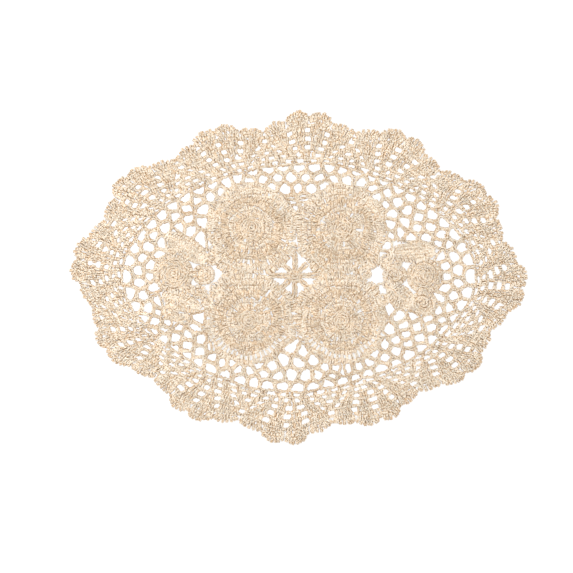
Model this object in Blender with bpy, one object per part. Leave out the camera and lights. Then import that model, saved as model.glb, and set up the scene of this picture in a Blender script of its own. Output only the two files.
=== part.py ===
"""A crocheted lace doily laid flat: four rose motifs joined round a star, a leaf spray at each
end, a net ground worked round them and a scalloped border worked on the net."""

import math

import bmesh
import bpy
import numpy as np
from mathutils import Vector
from mathutils.geometry import delaunay_2d_cdt

MM = 0.001

# The doily, measured to a smooth line through its scallops. X is its length, Y its width.
HALF_LENGTH = 186.0 * MM
HALF_WIDTH = 134.5 * MM
ROUNDNESS = 1.78  # exponent of the oval: 2 is an ellipse, and below 2 its ends are pointed
GAP = 0.3 * MM  # left between pieces that meet
NET_THICK = 2.0 * MM
MOTIF_THICK = 3.0 * MM
OVAL_STEPS = 2880  # of the fine curve that the oval's even lengths are read from
RIM_POINTS = 144  # on the line where the net meets the border
CUTTER_SPARE = 2.0 * MM  # how far a cutter stands out of the cloth, above and below

# Unevenness of a blocked and pinned edge: each wave adds a share of the radius.
WAVES = (
    # times round, share, turned by (degrees)
    (2, 0.0083, -69),
    (3, 0.0084, -83),
    (4, 0.0083, 95),
)
WAVES_FADE = (20.0 * MM, 80.0 * MM)  # full at the first depth and gone at the second

# The border, in repeats along the edge and depth in from it.
REPEATS = 12
EDGE_SHIFT = -9.0 * MM  # where the first repeat is centred, along the edge from the right-hand end
BORDER_DEPTH = 38.4 * MM
SCALLOP_POINTS = 5
SCALLOP_SPREAD = 0.47  # share of a scallop's width that its points reach to, either side
SCALLOP_FULLNESS = 0.8  # exponent of its half ellipse: 1 is an ellipse, and below 1 it is fuller
SCALLOPS = (
    # notch that it starts from: place in the repeat, depth in mm; depth of its tip in mm
    (-0.5, 11.5, 5.4),
    (-0.245, 7.0, -2.6),
    (0.0, 3.4, -3.2),
    (0.245, 6.6, 4.6),
)

# How unevenly the repeats were pinned out. Each value fades to nothing at the net.
REPEATS_PINNED = (
    # share of a repeat that it is shifted, how far in it lies in mm
    (0.00, 0.8),
    (0.03, -0.8),
    (0.01, -0.3),
    (0.00, -0.8),
    (-0.02, -2.0),
    (-0.05, -1.4),
    (-0.08, 0.8),
    (-0.08, -0.5),
    (-0.05, 1.6),
    (-0.03, 0.5),
    (-0.02, 1.7),
    (-0.05, 0.2),
)

# Holes of one repeat that are large enough to build. The rest are in the stitches.
BORDER_HOLES = (
    # place in the repeat, depth in mm, width and height in mm
    (0.0, 10.4, 5.6, 4.4),
    (0.0, 17.4, 6.8, 5.2),
    (0.0, 24.6, 6.4, 5.0),
    (-0.19, 20.8, 6.0, 5.2),
    (0.19, 20.8, 6.0, 5.2),
    (-0.148, 27.2, 5.6, 4.8),
    (0.148, 27.2, 5.6, 4.8),
    (0.5, 17.2, 6.0, 4.6),
)

# The net ground, in rounds of meshes. The first rounds are pressed flat where a rose is near.
CORD = 2.2 * MM
MESHES_ROUND = 60
NET_ROUNDS = 7
PRESSED_ROUNDS = 3
ROUND_HEIGHT = (5.8 * MM, 10.4 * MM)  # least and most
SETTLING_STEPS = 3
SEED_CLEARANCE = 2.8 * MM
MIRROR_REACH = 11.0 * MM
HOLE_CLEARANCE = 0.8 * MM
SHORTEST_SIDE = 0.6 * MM  # of a mesh: its corners there become one
SMALLEST_HOLE = 2.6 * MM  # across the middle of the hole: smaller ones stay closed
HOLES_BUILT = 114

ROSES = (
    # name, X and Y of the middle in mm, radius in mm, turn in degrees
    ("rose_back_left", -39.4, 40.7, 37.3, 8),
    ("rose_back_right", 36.4, 40.4, 36.8, 26),
    ("rose_front_left", -41.2, -35.7, 37.3, 14),
    ("rose_front_right", 36.2, -36.0, 36.6, 2),
)
ROSE_PETALS = 10
ROSE_NOTCH = 0.06  # how far the gap between two petals cuts in, as a share of the radius
ROSE_POINTS = 6  # on each petal
ROSE_SWELL = 0.15  # how much longer the petals are that fill the corners between roses, as a share
SWELL_TOWARDS = 0.36  # they point at the line between the rows, this share of the rose's X along
SWELL_EDGE = 0.375  # cosine of the angle either side of that where they start to shorten
ROSES_MEET = (-1.2 * MM, 2.2 * MM)  # X and Y of the lines where neighbouring roses meet
WINDOW = (20.5 * MM, 18.0 * MM)  # half the length and width of the star's diamond-shaped window

SPRAYS = {
    # each leaf: X and Y of its middle, length and width in mm, turn in degrees
    "spray_left": (
        (-103.5, 2.8, 32.0, 31.0, 0),
        (-78.5, 2.0, 18.0, 17.0, 0),
        (-92.5, 24.0, 42.0, 16.0, -34),
        (-97.0, -20.5, 34.0, 15.0, -20),
        (-106.0, -28.5, 14.0, 13.0, 0),
        (-82.5, -12.5, 14.0, 11.0, -20),
    ),
    "spray_right": (
        (104.0, 1.0, 28.0, 29.0, 0),
        (80.0, 1.5, 20.0, 17.0, 0),
        (95.0, 20.5, 40.0, 16.0, 4),
        (85.5, -16.5, 26.0, 17.0, -38),
        (103.5, -22.0, 22.0, 19.0, -20),
    ),
}
SPRAY_POINTS = 60

STAR_MIDDLE = (-3.4 * MM, 1.2 * MM)
STAR_HUB = 5.0 * MM
STAR_SPOKE = 3.2 * MM
STAR_SPOKES = (
    # direction in degrees, length in mm
    (0, 20.5),
    (43, 14.5),
    (88, 15.5),
    (136, 14.5),
    (180, 18.5),
    (223, 16.5),
    (271, 17.0),
    (319, 19.0),
)

# Spaces that the net doesn't reach: between the roses and each spray, and round the star.
SPACES = (
    # lowest and highest X, lowest and highest Y, in mm
    (-69.6, -54.0, -5.0, 10.8),
    (-74.5, -67.0, -13.0, 0.5),
    (54.0, 69.6, -6.5, 7.5),
    (-60.0, 58.0, 0.4, 4.0),
    (-3.0, 0.6, -54.0, 54.0),
    (-26.0, 19.0, -19.0, 21.0),
)

COTTON = (0.80, 0.66, 0.50)  # linear colour of ecru cotton
COTTON_SHADES = {"rose": 0.92, "spray": 0.88, "star": 0.97, "ground": 1.0, "scalloped": 0.95}


def clear_scene():
    """Remove the objects that Blender starts with."""
    for thing in list(bpy.data.objects):
        bpy.data.objects.remove(thing, do_unlink=True)


def waver(points, depth):
    """Move points in or out by the waves of the pinned edge, less and less towards the middle."""
    angle = np.arctan2(points[:, 1], points[:, 0])
    share = sum(size * np.cos(times * angle + math.radians(turn)) for times, size, turn in WAVES)
    first, last = WAVES_FADE
    fade = np.clip((last - depth) / (last - first), 0, 1)
    return points * (1 + share * fade)[:, None]


def oval(depth, places):
    """Points on the oval this far in from the edge. A place of 0 to 1 is a share of its length,
    anticlockwise from the right-hand end. The curve is |x/a|^n + |y/b|^n = 1."""
    turn = np.linspace(0, 2 * math.pi, OVAL_STEPS + 1)
    power = 2 / ROUNDNESS
    x = (HALF_LENGTH - depth) * np.sign(np.cos(turn)) * np.abs(np.cos(turn)) ** power
    y = (HALF_WIDTH - depth) * np.sign(np.sin(turn)) * np.abs(np.sin(turn)) ** power
    along = np.concatenate([[0], np.cumsum(np.hypot(np.diff(x), np.diff(y)))])
    wanted = np.mod(places, 1) * along[-1]
    points = np.column_stack([np.interp(wanted, along, x), np.interp(wanted, along, y)])
    return waver(points, np.full(len(points), depth)), along[-1]


def border_point(repeat, depth):
    """The point at this many repeats along the edge, and this far in, as it was pinned out."""
    around = oval(0.0, np.zeros(1))[1]
    fade = 1 - max(depth, 0) / BORDER_DEPTH
    pinned = np.array([*REPEATS_PINNED, REPEATS_PINNED[0]])
    shift, inwards = (np.interp(repeat % REPEATS, np.arange(REPEATS + 1), row) for row in pinned.T)
    place = (repeat + shift * fade) / REPEATS + EDGE_SHIFT / around
    return oval(depth + inwards * MM * fade, np.array([place]))[0][0]


def scalloped_edge():
    """The outer edge: each scallop is half an ellipse from one notch to the next."""
    points = []
    notches = [*SCALLOPS, (SCALLOPS[0][0] + 1, SCALLOPS[0][1], 0)]
    for repeat in range(REPEATS):
        for (start, start_depth, tip), (end, end_depth, _) in zip(notches, notches[1:]):
            points.append(border_point(repeat + start, start_depth * MM))
            for step in range(SCALLOP_POINTS):
                turn = (step + 0.5) / SCALLOP_POINTS * math.pi
                share = 0.5 - SCALLOP_SPREAD * math.cos(turn)
                chord = start_depth + (end_depth - start_depth) * share
                bulge = (start_depth + end_depth) / 2 - tip
                depth = chord - bulge * math.sin(turn) ** SCALLOP_FULLNESS
                points.append(border_point(repeat + start + (end - start) * share, depth * MM))
    return np.array(points)


def rose_reach(row, angle):
    """The rose's radius in each direction. It dips between the petals as 1 - |cos|, swells in the
    corners between the roses, and stops at the straight lines where it meets its neighbours and
    the star's window."""
    _, x, y, radius, turn = row
    middle = np.array([x, y]) * MM
    wave = np.abs(np.cos(ROSE_PETALS / 2 * (angle - math.radians(turn))))
    towards = math.atan2(ROSES_MEET[1] - middle[1], (SWELL_TOWARDS - 1) * middle[0])
    swell = np.clip(np.cos(angle - towards) / SWELL_EDGE, 0, 1)
    swell = ROSE_SWELL * swell * swell * (3 - 2 * swell)
    reach = radius * MM * (1 - ROSE_NOTCH * (1 - wave)) * (1 + swell)
    inwards = -np.sign(middle)
    window = inwards / WINDOW
    limits = (
        (inwards * (1, 0), inwards[0] * ROSES_MEET[0] - GAP / 2),
        (inwards * (0, 1), inwards[1] * ROSES_MEET[1] - GAP / 2),
        (window, window @ STAR_MIDDLE - 1),
    )
    for across, at in limits:
        facing = across[0] * np.cos(angle) + across[1] * np.sin(angle)
        far = (at - across @ middle) / np.where(facing > 0, facing, 1)
        reach = np.where(facing > 0, np.minimum(reach, far), reach)
    return reach


def rose_outline(row, grown=0.0):
    """The corners of the rose's outline."""
    angle = np.arange(ROSE_PETALS * ROSE_POINTS) * 2 * math.pi / (ROSE_PETALS * ROSE_POINTS)
    reach = rose_reach(row, angle) + grown
    return np.array(row[1:3]) * MM + np.column_stack([reach * np.cos(angle), reach * np.sin(angle)])


def leaf_reach(leaf, middle, angle):
    """How far each ray from the middle goes before it leaves this oval leaf, or 0 if it misses."""
    x, y, length, width, turn = leaf
    tilt = math.radians(turn)
    start = np.array(middle) - np.array([x, y])
    across = np.array([[math.cos(tilt), math.sin(tilt)], [-math.sin(tilt), math.cos(tilt)]])
    start = across @ start / (length / 2, width / 2)
    ray = np.column_stack([np.cos(angle), np.sin(angle)]) @ across.T / (length / 2, width / 2)
    a = (ray * ray).sum(axis=1)
    b = ray @ start
    inside = b * b - a * (start @ start - 1)
    far = (-b + np.sqrt(np.maximum(inside, 0))) / a
    return np.where(inside > 0, np.maximum(far, 0), 0)


def spray_outline(leaves, grown=0.0):
    """The farthest reach of any leaf along each ray from the middle of the spray."""
    middle = np.mean([leaf[:2] for leaf in leaves], axis=0)
    angle = np.arange(SPRAY_POINTS) * 2 * math.pi / SPRAY_POINTS
    reach = np.max([leaf_reach(leaf, middle, angle) for leaf in leaves], axis=0) * MM + grown
    return middle * MM + np.column_stack([reach * np.cos(angle), reach * np.sin(angle)])


def star_outline():
    """Straight spokes out of a round hub, two corners at the foot and two at the tip of each."""
    points = []
    for direction, length in STAR_SPOKES:
        along = np.array([math.cos(math.radians(direction)), math.sin(math.radians(direction))])
        across = np.array([-along[1], along[0]]) * STAR_SPOKE / 2
        foot, tip = along * STAR_HUB, along * length * MM
        points += [foot - across, tip - across, tip + across, foot + across]
    return np.array(points) + STAR_MIDDLE


def nearest(points, outline):
    """For each point, the nearest point of a closed outline, and whether it is inside it."""
    start, end = outline, np.roll(outline, -1, axis=0)
    side = end - start
    offset = points[:, None] - start
    share = np.clip((offset * side).sum(axis=2) / (side * side).sum(axis=1), 0, 1)
    feet = start + share[..., None] * side
    closest = np.linalg.norm(points[:, None] - feet, axis=2).argmin(axis=1)
    crosses = (start[:, 1] > points[:, None, 1]) != (end[:, 1] > points[:, None, 1])
    rise = np.where(side[:, 1] == 0, 1.0, side[:, 1])
    meets = start[:, 0] + (points[:, None, 1] - start[:, 1]) * side[:, 0] / rise
    inside = (crosses & (points[:, None, 0] < meets)).sum(axis=1) % 2 == 1
    return feet[np.arange(len(points)), closest], inside


def round_heights(places, motifs):
    """How tall the pressed rounds are at each place: a share of the room outside the motifs,
    averaged with the places beside it."""
    rim = oval(BORDER_DEPTH, places)[0]
    room = np.min(
        [np.linalg.norm(rim - nearest(rim, outline)[0], axis=1) for outline in motifs], axis=0
    )
    heights = np.clip(room / PRESSED_ROUNDS, *ROUND_HEIGHT)
    return (np.roll(heights, 1) + heights + np.roll(heights, -1)) / 3


def net_seeds(motifs):
    """The middles of the meshes: staggered rounds on nested ovals, clear of the motifs."""
    seeds = []
    for number in range(NET_ROUNDS):
        places = (np.arange(MESHES_ROUND) + 0.5 * (number % 2)) / MESHES_ROUND
        heights = round_heights(places, motifs)
        pressed = min(number + 0.5, PRESSED_ROUNDS) * heights
        depths = BORDER_DEPTH + pressed + max(number + 0.5 - PRESSED_ROUNDS, 0) * ROUND_HEIGHT[1]
        seeds += [oval(depth, np.array([place]))[0][0] for depth, place in zip(depths, places)]
    seeds = np.array(seeds)
    for outline in motifs:
        foot, inside = nearest(seeds, outline)
        seeds = seeds[~inside & (np.linalg.norm(seeds - foot, axis=1) > SEED_CLEARANCE)]
    return seeds


def meshes_round(seeds, edges):
    """The corners of the mesh round each seed: the middles of the circles through neighbouring
    seeds. Seeds near an edge are mirrored in it, so that the meshes end there."""
    mirrored = []
    for outline in edges:
        foot, _ = nearest(seeds, outline)
        near = np.linalg.norm(seeds - foot, axis=1) < MIRROR_REACH
        mirrored.append(2 * foot[near] - seeds[near])
    every = np.concatenate([seeds, *mirrored])
    corners = delaunay_2d_cdt([Vector(p) for p in every], [], [], 0, 1e-9)
    points = np.array([tuple(p) for p in corners[0]])
    triangles = np.array(corners[2])
    a, b, c = points[triangles[:, 0]], points[triangles[:, 1]], points[triangles[:, 2]]
    ab, ac = b - a, c - a
    area = 2 * (ab[:, 0] * ac[:, 1] - ab[:, 1] * ac[:, 0])
    square_b, square_c = (ab * ab).sum(axis=1), (ac * ac).sum(axis=1)
    middles = a + np.column_stack(
        [
            (ac[:, 1] * square_b - ab[:, 1] * square_c) / area,
            (ab[:, 0] * square_c - ac[:, 0] * square_b) / area,
        ]
    )
    found = []
    for number, seed in enumerate(seeds):
        around = middles[(triangles == number).any(axis=1)]
        turn = np.arctan2(around[:, 1] - seed[1], around[:, 0] - seed[0])
        found.append(around[np.argsort(turn)])
    return found


def net_meshes(motifs):
    """Meshes of even size: each seed moves to the middle of its mesh, a few times over."""
    rim = oval(BORDER_DEPTH + GAP, np.arange(RIM_POINTS) / RIM_POINTS)[0]
    seeds = net_seeds(motifs)
    for _ in range(SETTLING_STEPS):
        seeds = np.array([mesh.mean(axis=0) for mesh in meshes_round(seeds, [rim, *motifs])])
    return meshes_round(seeds, [rim, *motifs])


def net_holes(motifs):
    """The open part of each mesh, inside its cords. Only the largest that clear the motifs."""
    holes = []
    for mesh in net_meshes(motifs):
        middle = mesh.mean(axis=0)
        side = np.roll(mesh, -1, axis=0) - mesh
        length = np.linalg.norm(side, axis=1)
        keep = length > SHORTEST_SIDE
        offset = middle - mesh
        away = np.abs(side[:, 0] * offset[:, 1] - side[:, 1] * offset[:, 0])[keep] / length[keep]
        shrunk = middle + (mesh - middle) * (1 - CORD / 2 / away.mean())
        shrunk = shrunk[keep]
        clear = True
        for outline in motifs:
            foot, inside = nearest(shrunk, outline)
            away_from_it = np.linalg.norm(shrunk - foot, axis=1) > HOLE_CLEARANCE
            clear = clear and away_from_it.all() and not inside.any()
        if clear and 2 * (away.min() - CORD / 2) > SMALLEST_HOLE and len(shrunk) > 3:
            holes.append((away.min(), shrunk))
    holes.sort(key=lambda hole: -hole[0])
    return [hole for _, hole in holes[:HOLES_BUILT]]


def border_holes():
    """The larger spaces between the border's arms, as four-sided holes."""
    holes = []
    for repeat in range(REPEATS):
        for place, depth, width, height in BORDER_HOLES:
            middle = border_point(repeat + place, depth * MM)
            inward = border_point(repeat + place, (depth + 1) * MM) - middle
            inward = inward / np.linalg.norm(inward) * height * MM / 2
            along = np.array([-inward[1], inward[0]]) / np.linalg.norm(inward) * width * MM / 2
            holes.append(np.array([middle - along, middle - inward, middle + along, middle + inward]))
    return holes


def slab(name, outlines, low, high):
    """An object of one upright prism for each outline."""
    mesh = bpy.data.meshes.new(name)
    work = bmesh.new()
    for outline in outlines:
        x, y = outline[:, 0], outline[:, 1]
        if (x * np.roll(y, -1) - np.roll(x, -1) * y).sum() < 0:
            outline = outline[::-1]
        below = [work.verts.new((x, y, low)) for x, y in outline]
        above = [work.verts.new((x, y, high)) for x, y in outline]
        work.faces.new(below[::-1])
        work.faces.new(above)
        for i, corner in enumerate(below):
            after = (i + 1) % len(below)
            work.faces.new((corner, below[after], above[after], above[i]))
    work.to_mesh(mesh)
    work.free()
    made = bpy.data.objects.new(name, mesh)
    bpy.context.scene.collection.objects.link(made)
    return made


def cut(piece, name, outlines):
    """Cut upright holes of these outlines out of a piece."""
    cutter = slab(name, outlines, -CUTTER_SPARE, MOTIF_THICK + CUTTER_SPARE)
    cutter.hide_render = True
    cutter.display_type = "WIRE"
    difference = piece.modifiers.new(name, "BOOLEAN")
    difference.operation = "DIFFERENCE"
    difference.solver = "EXACT"
    difference.object = cutter


def dye(piece):
    """Ecru cotton, a little darker where the stitches are dense."""
    shade = COTTON_SHADES[piece.name.split("_")[0]]
    cotton = bpy.data.materials.new(piece.name + "_cotton")
    cotton.use_nodes = True
    shader = cotton.node_tree.nodes["Principled BSDF"]
    shader.inputs["Base Color"].default_value = (*(shade * c for c in COTTON), 1)
    shader.inputs["Roughness"].default_value = 0.85
    shader.inputs["Metallic"].default_value = 0.0
    piece.data.materials.append(cotton)


def rectangle(low_x, high_x, low_y, high_y):
    """The corners of a rectangle given in millimetres."""
    return np.array([(low_x, low_y), (high_x, low_y), (high_x, high_y), (low_x, high_y)]) * MM


def build():
    """Make every piece."""
    clear_scene()
    pieces = [slab(row[0], [rose_outline(row)], 0, MOTIF_THICK) for row in ROSES]
    pieces += [
        slab(name, [spray_outline(leaves)], 0, MOTIF_THICK) for name, leaves in SPRAYS.items()
    ]
    star = slab("star_centre", [star_outline()], 0, NET_THICK)
    pieces.append(star)

    motifs = [rose_outline(row) for row in ROSES] + [spray_outline(s) for s in SPRAYS.values()]
    rim = np.arange(RIM_POINTS) / RIM_POINTS
    net = slab("ground_net", [oval(BORDER_DEPTH + GAP, rim)[0]], 0, NET_THICK)
    for row in ROSES:
        for piece in (net, star):
            cut(piece, f"{row[0]}_beside_{piece.name}", [rose_outline(row, GAP)])
    for name, leaves in SPRAYS.items():
        cut(net, name + "_seat", [spray_outline(leaves, GAP)])
    for number, edges in enumerate(SPACES):
        cut(net, f"space_{number}", [rectangle(*edges)])
    cut(net, "net_holes", net_holes(motifs))
    pieces.append(net)

    edge = scalloped_edge()
    border = slab("scalloped_border", [edge], 0, NET_THICK)
    cut(border, "border_inside", [oval(BORDER_DEPTH, rim)[0]])
    cut(border, "border_holes", border_holes())
    pieces.append(border)
    for piece in pieces:
        dye(piece)
    for thing in bpy.data.objects:  # the origin is the middle of the doily's box
        thing.location.xy = -(edge.min(axis=0) + edge.max(axis=0)) / 2


build()
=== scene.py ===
"""A crocheted lace doily laid flat, made stitch by stitch: chain links, tall stitches, knots and
picots of plied cotton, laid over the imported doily."""

import math

import bpy
import numpy as np
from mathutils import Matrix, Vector
from mathutils.geometry import delaunay_2d_cdt


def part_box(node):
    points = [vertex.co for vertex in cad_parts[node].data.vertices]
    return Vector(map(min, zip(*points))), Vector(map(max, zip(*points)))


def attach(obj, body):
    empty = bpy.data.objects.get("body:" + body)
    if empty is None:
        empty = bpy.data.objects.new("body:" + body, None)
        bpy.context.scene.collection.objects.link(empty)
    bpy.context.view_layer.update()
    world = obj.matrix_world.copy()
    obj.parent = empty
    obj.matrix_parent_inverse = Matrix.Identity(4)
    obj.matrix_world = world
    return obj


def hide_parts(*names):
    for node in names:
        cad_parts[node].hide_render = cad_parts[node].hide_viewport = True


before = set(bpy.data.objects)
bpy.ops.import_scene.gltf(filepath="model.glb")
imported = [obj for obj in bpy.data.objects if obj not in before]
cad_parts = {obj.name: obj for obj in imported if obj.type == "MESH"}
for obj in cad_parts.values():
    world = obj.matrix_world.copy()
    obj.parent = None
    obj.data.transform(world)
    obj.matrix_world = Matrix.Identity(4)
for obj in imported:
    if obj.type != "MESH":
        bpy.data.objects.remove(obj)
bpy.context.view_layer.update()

MM = 0.001
SEED = 7  # of every draw by lot

# The cotton, and the stitches that are made of it.
THREAD = 0.82 * MM  # how thick the plied cotton is
SIDES = 3  # of a strand, one corner on top
STOUT = 1.2  # how much farther out a strand's corners are than a round thread's surface
STRAND_WIDTH = math.sqrt(3) / 2 * STOUT * THREAD  # across the three corners
STRAND_TIP = 0.8  # share of its thickness that a strand keeps at both its ends
BACK_WIDTH = 1.15  # of the broad strand behind a stitch, as a share of the stitch's width
BACK_BELOW = 0.5  # in threads: a strand point under this is a back's, and isn't uneven in height
LEAST_HEIGHT = 0.55  # in threads, of every other point
UNSHADED_THREADS = 3  # height in threads at which the colour's painted shade ends and its attribute reaches 1
LINK_PITCH = 2.5 * MM
LINK_HALF = 1.3 * MM  # half the width of a chain
SHORT_PITCH = 1.95  # mm between short stitches
SHORT_TALL = 3.1  # mm, at most
SHORT_LEAST = 0.9 * MM  # a shorter stitch isn't made
ROUND_SKIPPED = 0.025  # share of a border round's stitches that are skipped, for pinholes
FAN_SKIPPED = 0.1  # the same in the scallops
ROSE_SKIPPED = 0.04  # and in the roses

# A strand's own cell of the baked map: its sides fill a box, with its ends as discs above it.
CELL_EDGE = 0.06  # left free round the box
CELL_SIDES = (0.88, 0.76)  # the box's width and height
CELL_ENDS = (0.25, 0.75, 0.92)  # across to each disc's middle, and up to both
CELL_DISC = 0.04  # a disc's radius

# The doily's layout, the same sizes as its solids were made from. X is its length, Y its width.
HALF_LENGTH = 186.0 * MM
HALF_WIDTH = 134.5 * MM
ROUNDNESS = 1.78
OVAL_STEPS = 2880  # straight steps that an oval's length is measured in
GAP = 0.3 * MM
WAVES = (
    # times round, share, turned by (degrees)
    (2, 0.0083, -69),
    (3, 0.0084, -83),
    (4, 0.0083, 95),
)
WAVES_FADE = (20.0 * MM, 80.0 * MM)  # they fade between these depths

REPEATS = 12  # of the border's pattern
EDGE_SHIFT = -9.0 * MM  # of the first repeat's middle, along the edge
BORDER_DEPTH = 38.4 * MM
SCALLOPS = (
    # notch that it starts from: place in the repeat, depth in mm; depth of its tip in mm
    (-0.5, 11.5, 5.4),
    (-0.245, 7.0, -2.6),
    (0.0, 3.4, -3.2),
    (0.245, 6.6, 4.6),
)
NOTCHES = (*SCALLOPS, (SCALLOPS[0][0] + 1, SCALLOPS[0][1], 0))  # and the next repeat's first
SCALLOP_SPREAD = 0.47  # half a scallop's width, as a share of the way between its notches
SCALLOP_FULLNESS = 0.8  # power of the sine that a scallop's depth follows
SCALLOP_STEPS = 32
SCALLOP_CUT = 0.05  # share of the half turn at each end that its stitches leave out
SCALLOP_FOOT = 0.08  # share of the way from each notch that the foot of its stitches leaves out
REPEATS_PINNED = (
    # share of a repeat that it is shifted, how far in it lies in mm
    (0.00, 0.8),
    (0.03, -0.8),
    (0.01, -0.3),
    (0.00, -0.8),
    (-0.02, -2.0),
    (-0.05, -1.4),
    (-0.08, 0.8),
    (-0.08, -0.5),
    (-0.05, 1.6),
    (-0.03, 0.5),
    (-0.02, 1.7),
    (-0.05, 0.2),
)

MESHES_ROUND = 60
NET_ROUNDS = 7  # of meshes, from the border inwards
PRESSED_ROUNDS = 3  # share the room between the border and the motifs
ROUND_HEIGHT = (5.8 * MM, 10.4 * MM)  # least and most, of a round of meshes
RIM_POINTS = 144  # of the border's inner edge, where the net ends
MESH_SIDE = 0.6 * MM  # a mesh's shorter sides don't count
MESH_ROOM = 0.6 * MM  # least room from a mesh's middle to its loop
CORD_HALF = (0.35 * MM, 0.65 * MM)  # least and most, from a cord's middle to a loop's path
LOOP_HALF = 0.88 * MM  # half the width of the chain round a mesh
LOOP_PITCH = 1.85 * MM
LOOP_LIFT = 0.35  # mm that a loop is raised by, at most
KNOT_APART = 1.5 * MM  # a corner nearer than this to the one before it has no knot
KNOT_REACH = 0.85 * MM  # half a knot's length
KNOT_HALF = 1.15 * MM  # half its width
KNOT_LOW = 0.3 * MM  # how high knots and ties lie
WANDER = 0.7 * MM  # how far the net's corners wander
WANDER_WAVES = (
    # radians for each mm of X and of Y, and at the middle: two waves along X, then two along Y
    (0.83, 0.47, 0.0),
    (0.29, -0.71, 2.0),
    (0.52, -0.88, 4.0),
    (0.67, 0.33, 1.0),
)
NET_TIES = (
    # chains across the tall meshes between the roses: X and Y of the middle and length, in mm,
    # turn in degrees
    (-4.0, 63.6, 8.5, -8),
    (-3.6, 59.6, 8.0, 4),
    (4.8, 65.8, 8.5, 8),
    (4.6, 61.8, 8.5, -4),
)
LOOP_POINTS = 32
LOOP_ROUNDNESS = 7  # the lower, the rounder its corners
SETTLING_STEPS = 3  # in which the meshes even out
SEED_CLEARANCE = 2.8 * MM  # least, from a mesh's seed to a motif
SEEDS_SAME = 1e-9  # metres under which two seeds are one
MIRROR_REACH = 11.0 * MM  # seeds this near an edge are mirrored in it

ROSES = (
    # name, X and Y of the middle in mm, radius in mm, turn in degrees
    ("rose_back_left", -39.4, 40.7, 37.3, 8),
    ("rose_back_right", 36.4, 40.4, 36.8, 26),
    ("rose_front_left", -41.2, -35.7, 37.3, 14),
    ("rose_front_right", 36.2, -36.0, 36.6, 2),
)
ROSE_PETALS = 10
ROSE_NOTCH = 0.06  # how far the gap between two petals cuts in, as a share of the radius
ROSE_POINTS = 6  # on each petal
ROSE_SWELL = 0.15  # how much longer the petals are that fill the corners between roses, as a share
SWELL_TOWARDS = 0.36  # they point at the line between the rows, this share of the rose's X along
SWELL_EDGE = 0.375  # cosine of the angle either side of that where they start to shorten
ROSES_MEET = (-1.2 * MM, 2.2 * MM)  # X and Y of the lines where neighbouring roses meet
WINDOW = (20.5 * MM, 18.0 * MM)  # half the length and width of the star's diamond-shaped window
ROSE_SIZE = 37.0  # mm, the radius of a rose whose rings and pairs have the sizes below
ROSE_RINGS = (
    # inner and outer radius, height at its foot and head in mm; tone, which shifts its colour, the
    # darker rings being painted shade round the button and the raised petals; lobes, how far it
    # dips between them in mm, and their turn from the petals in degrees
    (9.0, 11.8, 1.1, 0.9, -0.35, 0, 0.0, 0),
    (11.8, 14.7, 0.8, 0.6, 0.0, 0, 0.0, 0),
    (14.9, 17.8, 0.5, 0.6, 0.15, 0, 0.0, 0),
    (18.6, 21.8, 0.7, 1.1, -0.25, 8, 0.8, 11),
    (21.6, 24.8, 1.1, 1.45, -0.4, 8, 1.8, 11),
    (23.1, 25.8, 0.3, 0.45, -0.3, 0, 0.0, 0),
    (25.8, 28.3, 0.4, 0.5, 0.0, 0, 0.0, 0),
    (28.7, 31.6, 0.5, 0.8, -0.1, ROSE_PETALS, 0.4, 0),
    (31.2, 33.8, 0.8, 0.7, 0.15, ROSE_PETALS, 0.6, 0),
    (33.4, 37.1, 0.6, 0.3, 0.05, ROSE_PETALS, 0.4, 0),
)
ROSE_BUTTON = (0.9, 9.6, 0.9, 1.9)  # inner and outer radius, height at its edge and middle, mm
RING_WAVE = (5, 0.7)  # a ring runs in and out this many times, by this many mm
DIP_SHARE = 0.6  # of a ring's dip, at its foot
PAIRS_TURN = (205.0, 335.0)  # degrees round a front rose
PAIRS_RADIUS = (29.0, 33.6)  # mm
PAIRS_PITCH = 4.2  # mm from pair to pair
PAIRS_HEIGHT = (0.5 * MM, 0.7 * MM)  # at the foot and the head
PAIR_APART = 0.14  # half the way between the two of a pair, as a share of the pitch
PAIR_HALF = 0.12  # half the width of one of them, as a share of the pitch

SPRAYS = {
    # each leaf: X and Y of its middle, length and width in mm, turn in degrees
    "spray_left": (
        (-103.5, 2.8, 32.0, 31.0, 0),
        (-78.5, 2.0, 18.0, 17.0, 0),
        (-92.5, 24.0, 42.0, 16.0, -34),
        (-97.0, -20.5, 34.0, 15.0, -20),
        (-106.0, -28.5, 14.0, 13.0, 0),
        (-82.5, -12.5, 14.0, 11.0, -20),
    ),
    "spray_right": (
        (104.0, 1.0, 28.0, 29.0, 0),
        (80.0, 1.5, 20.0, 17.0, 0),
        (95.0, 20.5, 40.0, 16.0, 4),
        (85.5, -16.5, 26.0, 17.0, -38),
        (103.5, -22.0, 22.0, 19.0, -20),
    ),
}
SPRAY_POINTS = 60  # of a spray's outline
SPRAY_JOINS = {
    # small leaves that join a spray to the roses beside it, in the same columns
    "spray_left": (
        (-71.5, 15.0, 12.0, 10.5, 0),
        (-69.5, -8.5, 8.0, 8.0, 0),
        (-76.0, -20.0, 10.0, 11.0, 0),
        (-58.5, 2.2, 9.0, 7.0, 0),
        (-70.0, -14.5, 8.0, 7.0, 0),
        (-70.5, 22.5, 7.0, 9.0, 0),
        (-96.9, -34.0, 13.0, 7.0, 8),
        (-105.0, 22.5, 11.0, 9.0, -30),
        (-91.5, -9.5, 9.0, 8.0, 0),
    ),
    "spray_right": (
        (73.0, 14.0, 11.0, 10.0, 0),
        (70.5, -19.0, 10.0, 10.0, 0),
        (56.0, 2.2, 9.0, 7.0, 0),
        (72.0, 10.0, 8.0, 8.0, 0),
        (74.0, -6.0, 8.0, 8.0, 0),
        (56.0, 9.5, 8.0, 7.0, 0),
        (81.5, 11.5, 9.0, 8.0, 0),
    ),
}

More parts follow.
